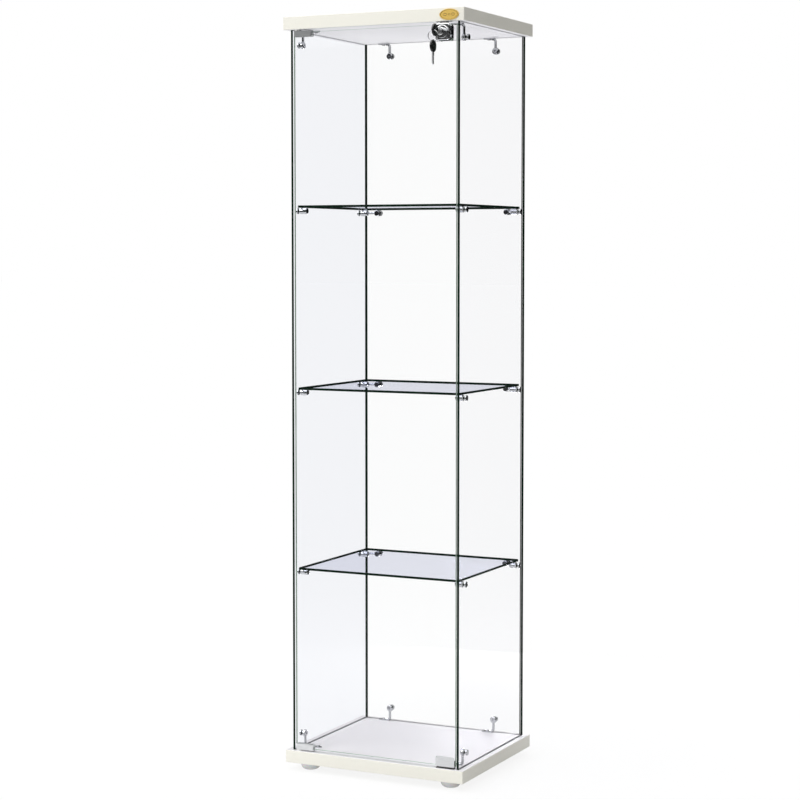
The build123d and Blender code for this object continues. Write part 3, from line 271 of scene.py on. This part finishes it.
EVEN = (1, 1, 1)
ALONG_X = (0.06, 1, 1)
LOOKS = {
    "white_foil": foil_material("white_foil", FOIL, FOIL_SPECK),
    # the deck and ceiling foils carry painted shade and painted light
    "deck_foil_painted_shade": foil_material("deck_foil_painted_shade", SHADED_DECK_FOIL, SHADED_DECK_SPECK),
    "ceiling_foil_painted_light": foil_material("ceiling_foil_painted_light", LIT_CEILING_FOIL, LIT_CEILING_SPECK),
    "chrome": metal(
        "polished_chrome", CHROME, (0.05, 0.13), scale=400.0, stretch=EVEN, strength=0.05, grain=0.93),
    "fitting": metal(
        "fitting_chrome_painted_shade", SHADED_FITTING_CHROME, (0.07, 0.16), scale=400.0, stretch=EVEN, strength=0.06, grain=0.8),
    "satin_light": metal(
        "satin_light_zinc", SATIN_LIGHT, (0.28, 0.42),
        scale=700.0, stretch=ALONG_X, strength=0.2, grain=0.88),
    # the upper hinge clamp's satin zinc, darker as painted shade
    "satin_painted_shade": metal(
        "satin_zinc", SATIN, (0.3, 0.42), scale=700.0, stretch=ALONG_X, strength=0.2, grain=0.85),
    "steel": metal(
        "plated_steel", STEEL, (0.2, 0.34), scale=600.0, stretch=(1, 1, 0.2), strength=0.15, grain=0.85),
    "black_plastic": plastic(
        "black_plastic", BLACK, rough=0.22, scale=500.0, strength=0.15, grain=0.6, coat=0.5),
    "black_rubber": plastic("black_rubber", RUBBER, rough=0.6, scale=900.0, strength=0.3, grain=0.7),
    "ferrite": plastic("black_magnet", FERRITE, rough=0.45, scale=700.0, strength=0.2, grain=0.7),
    "soft_plastic": plastic(
        "clear_vinyl", VINYL, rough=0.3, scale=400.0, strength=0.1, grain=0.92, coat=0.3),
    "nylon": plastic("white_nylon", NYLON, rough=0.4, scale=500.0, strength=0.12, grain=0.93),
    "foot": foot_material(),
    "gilt": gilt_material("gilt_badge", GILT),
    "gilt_painted_shade": gilt_material("painted_shade_gilt", GILT_PAINTED_SHADE),
}
SHADED_LEFT_FACE = glass_face_material("left_glass_painted_shade", LEFT_TINT_AND_SHADE, SIDE_GLOSS)
FRONT_FACE = glass_face_material("clear_glass", FRONT_TINT, FRONT_GLOSS)
RIGHT_FACE = glass_face_material("right_glass", RIGHT_TINT, SIDE_GLOSS)
SHADED_SHELF_FACE = glass_face_material("shelf_glass_painted_shade", SHELF_TINT_AND_SHADE, SHELF_GLOSS)
SHADED_EDGE = glass_edge_material("glass_edge_painted_shade", EDGE_LIGHT, EDGE_DARK)
DOOR_EDGE = glass_edge_material("pale_glass_edge", PALE_EDGE_LIGHT, PALE_EDGE_DARK)


# ---- material of every CAD node ------------------------------------------------------------------
def look_of(name):
    """The finish of a CAD node that isn't a pane."""
    if name.endswith("_foot"):
        return "foot"
    if name == "badge":
        return "gilt"
    # the upper hinge clamp gets the darker satin copy: painted shade
    if name == "upper_hinge_clamp":
        return "satin_painted_shade"
    if name in ("lower_hinge_clamp", "catch_plate", "key_blade", "spare_key_blade"):
        return "satin_light"
    if name in ("key_bow", "spare_key_bow"):
        return "black_plastic"
    if name in ("lock_gasket", "catch_liner"):
        return "black_rubber"
    if name == "catch_magnet":
        return "ferrite"
    if name in ("shelf_pads", "glass_washers", "hinge_pads"):
        return "soft_plastic"
    if name.endswith("_bush"):
        return "nylon"
    if name in ("lock_bolt", "lock_strike", "hinge_pins", "foot_screws", "strike_screws"):
        return "steel"
    if name.startswith("lock_"):
        return "chrome"
    # the fittings get the darker chrome copy: painted shade
    return "fitting"


X, Y, Z = 0, 1, 2
PANES = {
    "left_glass_panel": (SHADED_LEFT_FACE, SHADED_EDGE, X),
    "right_glass_panel": (RIGHT_FACE, SHADED_EDGE, X),
    "back_glass_panel": (FRONT_FACE, SHADED_EDGE, Y),
    "door_glass": (FRONT_FACE, DOOR_EDGE, Y),
    "lower_shelf": (SHADED_SHELF_FACE, SHADED_EDGE, Z),
    "middle_shelf": (SHADED_SHELF_FACE, SHADED_EDGE, Z),
    "upper_shelf": (SHADED_SHELF_FACE, SHADED_EDGE, Z),
}
FACE_TILT = 0.9  # least cosine between a broad face's normal and the axis it faces along


def dress_pane(node, face, edge, axis):
    """Broad faces, ground edges, and the ends of a wall, coloured with the deck's foil and its painted shade
    as a painted view of the boards that they stand on.
    """
    mesh = node.data
    mesh.materials.clear()
    for mat in (face, edge, LOOKS["deck_foil_painted_shade"]):
        mesh.materials.append(mat)
    for polygon in mesh.polygons:
        if abs(polygon.normal[axis]) > FACE_TILT:
            polygon.material_index = 0
        elif axis != Z and node.name != "door_glass" and abs(polygon.normal.z) > FACE_TILT:
            polygon.material_index = 2
        else:
            polygon.material_index = 1


def dress_board(node, look, way):
    """The board is cream outside; the face inside the case gets a cooler copy of the foil, darker on the
    deck as painted shade and brighter on the ceiling as painted light.
    """
    mesh = node.data
    mesh.materials.clear()
    for mat in (LOOKS["white_foil"], LOOKS[look]):
        mesh.materials.append(mat)
    for polygon in mesh.polygons:
        polygon.material_index = 1 if way * polygon.normal.z > FACE_TILT else 0


for node_name, node in NODES.items():
    if node_name in PANES:
        dress_pane(node, *PANES[node_name])
    elif node_name == "base_board":
        dress_board(node, "deck_foil_painted_shade", 1)
    elif node_name == "top_board":
        dress_board(node, "ceiling_foil_painted_light", -1)
    else:
        node.data.materials.clear()
        node.data.materials.append(LOOKS[look_of(node_name)])


# ---- the badge's relief --------------------------------------------------------------------------
BADGE_LOW, BADGE_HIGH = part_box("badge")
BADGE_CENTRE = (BADGE_LOW + BADGE_HIGH) / 2
BADGE_HALF_X = (BADGE_HIGH.x - BADGE_LOW.x) / 2
BADGE_HALF_Z = (BADGE_HIGH.z - BADGE_LOW.z) / 2
BADGE_MESH = NODES["badge"].data
BADGE_CORNERS = [vertex.co for vertex in BADGE_MESH.vertices]
BADGE_TREE = BVHTree.FromPolygons(BADGE_CORNERS, [polygon.vertices for polygon in BADGE_MESH.polygons])
PROBE = 0.01  # how far in front of the badge a probing ray starts
RING_STEPS = 96
LEAF_STEPS = 16
TUBE_SIDES = 10
RIM_U, RIM_V = 0.87, 0.84  # the rim's half axes, as shares of the badge's
RIM_WIRE = 0.0005
LEAF_ROOT, LEAF_LENGTH, LEAF_SWELL = 0.16, 0.5, 0.2  # shares of the badge's half axes
LEAF_TIP_WIRE, LEAF_WIRE = 0.00012, 0.0006
DIAMOND_U, DIAMOND_V = 0.07, 0.2
DIAMOND_WIRE = 0.0004
DIAMOND_SKIP = 12  # ring steps between the diamond's points


def on_badge(u, v):
    """The point on the badge's face at u, v, given as shares of its half width and half height."""
    x, z = BADGE_CENTRE.x + u * BADGE_HALF_X, BADGE_CENTRE.z + v * BADGE_HALF_Z
    start = Vector((x, BADGE_LOW.y - PROBE, z))
    hit = BADGE_TREE.ray_cast(start, Vector((0, 1, 0)))[0]
    return hit if hit is not None else Vector((start.x, BADGE_HIGH.y, start.z))


def add_tube(bm, points, radii, closed):
    """A round bead along points, with a radius at each, into bm."""
    rings = []
    count = len(points)
    for i, (point, radius) in enumerate(zip(points, radii)):
        before = points[i - 1] if closed or i else point
        after = points[(i + 1) % count] if closed or i + 1 < count else point
        along = (after - before).normalized()
        side = along.cross(Vector((0, 1, 0))).normalized()
        out = side.cross(along).normalized()
        turn = [2 * math.pi * k / TUBE_SIDES for k in range(TUBE_SIDES)]
        rings.append([bm.verts.new(point + radius * (math.cos(t) * side + math.sin(t) * out)) for t in turn])
    pairs = list(zip(rings, rings[1:])) + ([(rings[-1], rings[0])] if closed else [])
    for near, far in pairs:
        for k in range(TUBE_SIDES):
            bm.faces.new((near[k], near[k - 1], far[k - 1], far[k]))
    if not closed:
        bm.faces.new(rings[0])
        bm.faces.new(list(reversed(rings[-1])))


def badge_relief():
    """A rim, a diamond and a plain leaf on either side of it, raised from the badge's face, in a darker gilt
    that is painted shade.
    """
    bm = bmesh.new()
    ring = [2 * math.pi * i / RING_STEPS for i in range(RING_STEPS)]
    rim = [on_badge(RIM_U * math.cos(t), RIM_V * math.sin(t)) for t in ring]
    add_tube(bm, rim, [RIM_WIRE] * len(rim), closed=True)
    steps = [i / LEAF_STEPS for i in range(LEAF_STEPS + 1)]
    swell = [math.sin(math.pi * t) for t in steps]
    taper = [LEAF_TIP_WIRE + LEAF_WIRE * s for s in swell]
    for mirror in (-1, 1):
        along = [mirror * (LEAF_ROOT + LEAF_LENGTH * t) for t in steps]
        for way in (-1, 1):
            leaf = [on_badge(u, way * LEAF_SWELL * s) for u, s in zip(along, swell)]
            add_tube(bm, leaf, taper, closed=False)
    diamond = [on_badge(DIAMOND_U * math.cos(t), DIAMOND_V * math.sin(t)) for t in ring[::DIAMOND_SKIP]]
    add_tube(bm, diamond, [DIAMOND_WIRE] * len(diamond), closed=True)
    bmesh.ops.recalc_face_normals(bm, faces=bm.faces)
    mesh = bpy.data.meshes.new("badge_relief")
    bm.to_mesh(mesh)
    bm.free()
    mesh.shade_smooth()
    relief = bpy.data.objects.new("badge_relief", mesh)
    bpy.context.scene.collection.objects.link(relief)
    mesh.materials.append(LOOKS["gilt_painted_shade"])
    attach(relief, "cabinet")


badge_relief()


# ---- floor, light and camera ---------------------------------------------------------------------
FLOOR_GLOW = 0.62  # the floor's own light on the case, at its left
FLOOR_GLOW_RIGHT = 0.05
FLOOR_GLOW_NEAR = 0.5  # share of the glow that is left close to the case
FLOOR_GLOW_SEEN = 0.85  # the floor as the camera meets it
FLOOR_SHADE = 0.4
FLOOR_SHADE_SEEN = 0.125
FLOOR_HALF = 60.0
GLOW_RUN = (0.0, 0.9)  # from the middle to the right, over which the glow falls
NEAR_RUN = (0.25, 0.4)  # distances over which the glow recovers
FAR_RUN = (1.0, 2.5)  # distances over which the mirrored floor turns dark
DARK_FLOOR = (0.05, 0.05, 0.05)
LEAN_WAY = (-0.72, -0.69, 0.0)  # towards the stronger side of the studio
SIDE_LEAN, SIDE_LEVEL = 0.62, 0.07
TOP_LEAN, TOP_LEVEL = 1.7, 2.1
BELT = (
    (0.44, WHITE),
    (0.49, (0.03, 0.03, 0.03)),
    (0.56, (0.05, 0.05, 0.05)),
    (0.6, (1.3, 1.3, 1.3)),
)


def floor_shader(nodes, links, shade, glow, glow_right, near):
    """A matt white floor that also glows, like a light table; near is the share left close to the case."""
    shader = nodes.new("ShaderNodeBsdfPrincipled")
    mottle = noise(nodes, links, scale=3.0)
    low, high = (shade * 0.98,) * 3, (shade,) * 3
    links.new(ramp(nodes, links, mottle, zip(MID_NOISE, (low, high))), shader.inputs["Base Color"])
    shader.inputs["Roughness"].default_value = 0.9
    shader.inputs["Specular IOR Level"].default_value = 0.0
    shader.inputs["Emission Color"].default_value = (*WHITE, 1.0)
    coord = nodes.new("ShaderNodeTexCoord")
    split = nodes.new("ShaderNodeSeparateXYZ")
    links.new(coord.outputs["Object"], split.inputs[0])
    across = span(nodes, links, split.outputs["X"], glow, glow_right, *GLOW_RUN)
    dim = span(nodes, links, from_middle(nodes, links), near, 1.0, *NEAR_RUN)
    links.new(calc(nodes, links, "MULTIPLY", across, dim), shader.inputs["Emission Strength"])
    return shader.outputs[0]


def stage_floor():
    """A plain white floor that reaches the horizon. Only mirrors see its far part dark."""
    mesh = bpy.data.meshes.new("floor")
    bm = bmesh.new()
    bmesh.ops.create_grid(bm, x_segments=1, y_segments=1, size=FLOOR_HALF)
    bm.to_mesh(mesh)
    bm.free()
    floor = bpy.data.objects.new("floor", mesh)
    bpy.context.scene.collection.objects.link(floor)
    mat = bpy.data.materials.new("floor_white")
    mat.use_nodes = True
    nodes, links = mat.node_tree.nodes, mat.node_tree.links
    nodes.remove(nodes["Principled BSDF"])
    path = nodes.new("ShaderNodeLightPath")
    mix = nodes.new("ShaderNodeMixShader")
    links.new(path.outputs["Is Camera Ray"], mix.inputs[0])
    lit = floor_shader(nodes, links, FLOOR_SHADE, FLOOR_GLOW, FLOOR_GLOW_RIGHT, FLOOR_GLOW_NEAR)
    links.new(lit, mix.inputs[1])
    seen = floor_shader(nodes, links, FLOOR_SHADE_SEEN, FLOOR_GLOW_SEEN, FLOOR_GLOW_SEEN, 1.0)
    links.new(seen, mix.inputs[2])
    far = span(nodes, links, from_middle(nodes, links), 0.0, 1.0, *FAR_RUN)
    dark = nodes.new("ShaderNodeBsdfDiffuse")
    dark.inputs["Color"].default_value = (*DARK_FLOOR, 1.0)
    fade = nodes.new("ShaderNodeMixShader")
    links.new(calc(nodes, links, "MULTIPLY", far, path.outputs["Is Glossy Ray"]), fade.inputs[0])
    links.new(mix.outputs[0], fade.inputs[1])
    links.new(dark.outputs[0], fade.inputs[2])
    links.new(fade.outputs[0], nodes["Material Output"].inputs["Surface"])
    mesh.materials.append(mat)


def area_light(name, place, target, size, power):
    """A rectangular white softbox at place, turned to target."""
    data = bpy.data.lights.new(name, "AREA")
    data.shape = "RECTANGLE"
    data.size, data.size_y = size
    data.energy = power
    light = bpy.data.objects.new(name, data)
    bpy.context.scene.collection.objects.link(light)
    light.location = place
    light.rotation_mode = "QUATERNION"
    light.rotation_quaternion = (Vector(target) - Vector(place)).to_track_quat("-Z", "Y")


def studio_world():
    """Soft light, stronger from the front left and from above. Mirrors also see a dark belt at eye level."""
    world = bpy.data.worlds.new("studio")
    bpy.context.scene.world = world
    world.use_nodes = True
    nodes, links = world.node_tree.nodes, world.node_tree.links
    coord = nodes.new("ShaderNodeTexCoord")
    split = nodes.new("ShaderNodeSeparateXYZ")
    links.new(coord.outputs["Generated"], split.inputs[0])
    lean = nodes.new("ShaderNodeVectorMath")
    lean.operation = "DOT_PRODUCT"
    lean.inputs[1].default_value = LEAN_WAY
    links.new(coord.outputs["Generated"], lean.inputs[0])
    leaning = lean.outputs["Value"]
    side = calc(nodes, links, "ADD", calc(nodes, links, "MULTIPLY", leaning, SIDE_LEAN), SIDE_LEVEL)
    side = calc(nodes, links, "MAXIMUM", side, 0.0)
    height = calc(nodes, links, "MAXIMUM", split.outputs["Z"], 0.0)
    slant = calc(nodes, links, "ADD", calc(nodes, links, "MULTIPLY", leaning, TOP_LEAN), TOP_LEVEL)
    top = calc(nodes, links, "MULTIPLY", calc(nodes, links, "MULTIPLY", height, height), slant)
    soft = calc(nodes, links, "ADD", side, top)
    belt = ramp(nodes, links, span(nodes, links, split.outputs["Z"], 0.0, 1.0, -1.0, 1.0), BELT)
    path = nodes.new("ShaderNodeLightPath")
    seen = nodes.new("ShaderNodeMix")
    seen.data_type = "RGBA"
    links.new(path.outputs["Is Glossy Ray"], seen.inputs[0])
    seen.inputs[6].default_value = (*WHITE, 1.0)
    links.new(belt, seen.inputs[7])
    scaled = nodes.new("ShaderNodeVectorMath")
    scaled.operation = "SCALE"
    links.new(seen.outputs[2], scaled.inputs[0])
    links.new(soft, scaled.inputs["Scale"])
    backdrop = nodes.new("ShaderNodeMix")
    backdrop.data_type = "RGBA"
    links.new(path.outputs["Is Camera Ray"], backdrop.inputs[0])
    links.new(scaled.outputs[0], backdrop.inputs[6])
    backdrop.inputs[7].default_value = (*WHITE, 1.0)
    links.new(backdrop.outputs[2], nodes["Background"].inputs["Color"])


CASE_MIDDLE = (0.0, 0.0, 0.8)
CASE_TOP = (0.0, 0.0, 1.6)
stage_floor()
studio_world()
area_light("key_light", (-2.2, -3.2, 3.0), CASE_MIDDLE, size=(0.8, 1.2), power=14.0)
area_light("rim_light", (2.6, 2.2, 2.4), CASE_MIDDLE, size=(0.5, 1.4), power=5.0)
area_light("bounce_light", (-0.2, 1.3, 0.06), CASE_TOP, size=(0.7, 0.5), power=17.0)

scene = bpy.context.scene
scene.view_settings.view_transform = "Standard"
scene.view_settings.look = "None"

YAW = 0.459525
PITCH = 0.065805
camera_data = bpy.data.cameras.new("camera")
camera_data.sensor_width = 36.0
camera_data.lens = 90.51
camera_data.shift_y = -0.02
camera_data.clip_start, camera_data.clip_end = 0.05, 200.0
camera = bpy.data.objects.new("camera", camera_data)
scene.collection.objects.link(camera)
camera.location = (1.934577, -3.957698, 1.131075)
camera.rotation_mode = "QUATERNION"
LOOK = Vector((-math.sin(YAW) * math.cos(PITCH), math.cos(YAW) * math.cos(PITCH), -math.sin(PITCH)))
camera.rotation_quaternion = LOOK.to_track_quat("-Z", "Y")
scene.camera = camera
